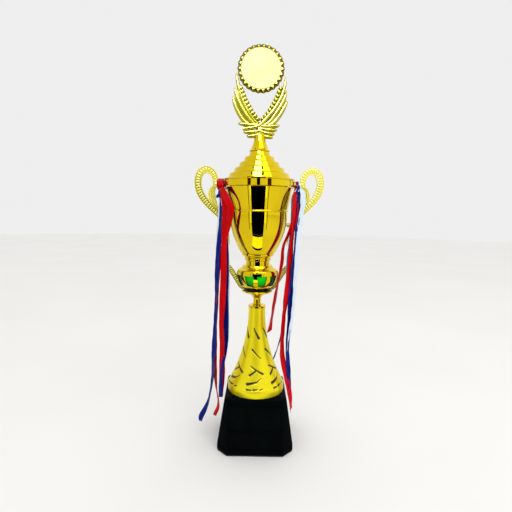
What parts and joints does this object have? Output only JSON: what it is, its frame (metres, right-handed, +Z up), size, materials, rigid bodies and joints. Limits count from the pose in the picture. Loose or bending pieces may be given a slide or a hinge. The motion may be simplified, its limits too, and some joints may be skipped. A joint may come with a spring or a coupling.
{
  "type": "cup trophy",
  "caption": "Lidded cup trophy on a black plinth, with a trumpet column, a green-windowed lower bowl, scroll handles, a medal finial and hanging ribbons.",
  "frame": {"origin": "middle of the underside of the plinth, on the surface that the trophy stands on", "axes": "+Z up the trophy to its finial, -Y the front, +X towards the right-hand handle seen from the front"},
  "size_m": [0.1624, 0.096, 0.5045],
  "materials": {
    "gold_metal": "mirror-bright gold plating",
    "gold_plastic": "vacuum-metallised gold on moulded plastic",
    "black_plastic": "high gloss",
    "green_gem": "translucent green, gloss",
    "medal_foil": "pale gold foil, satin",
    "felt": "black felt",
    "ballast": "cast plaster filler",
    "cover_board": "fibreboard",
    "steel": "zinc-plated",
    "ribbon_red": "satin ribbon",
    "ribbon_blue": "satin ribbon",
    "ribbon_white": "satin ribbon"
  },
  "bodies": {
    "trophy": {"felt_pad": "felt", "base_cover": "cover_board", "plinth_shell": "black_plastic", "ballast": "ballast", "tie_rod": "steel", "base_washer": "steel", "base_nut": "steel", "cup_washer": "steel", "cup_nut": "steel", "trumpet": "gold_plastic", "trumpet_cap": "gold_plastic", "neck_spool": "gold_plastic", "saucer": "gold_plastic", "gem_liner": "green_gem", "lower_bowl": "gold_plastic", "bowl_dome": "gold_plastic", "neck_ring": "gold_plastic", "neck_collar": "gold_plastic", "bowl_arm_left": "gold_plastic", "bowl_arm_right": "gold_plastic", "cup_bowl": "gold_metal", "handle_left": "gold_plastic", "handle_right": "gold_plastic", "handle_studs": "steel", "handle_nuts": "steel"},
    "lid": {"lid_shell": "gold_metal", "lid_collar": "gold_metal", "finial_socket": "gold_plastic", "finial_frame": "gold_plastic", "medal_disc_front": "medal_foil", "medal_disc_back": "medal_foil", "finial_stud": "steel", "lid_nut": "steel", "lid_washer": "steel"},
    "ribbons_left": {"ribbon_left_red": "ribbon_red", "ribbon_left_blue": "ribbon_blue", "ribbon_left_white": "ribbon_white"},
    "ribbons_right": {"ribbon_right_red": "ribbon_red", "ribbon_right_blue": "ribbon_blue", "ribbon_right_white": "ribbon_white"}
  },
  "joints": [
    {"name": "lid_lift", "type": "slide", "parent": "trophy", "child": "lid", "axis": [0, 0, 1], "range_m": [0, 0.09]},
    {"name": "ribbons_left_swing", "type": "hinge", "parent": "trophy", "child": "ribbons_left", "pos_m": [-0.04865, 0, 0.3353], "axis": [-1, 0, 0], "range_deg": [0, 30]},
    {"name": "ribbons_right_swing", "type": "hinge", "parent": "trophy", "child": "ribbons_right", "pos_m": [0.04865, 0, 0.3353], "axis": [-1, 0, 0], "range_deg": [0, 30]}
  ]
}
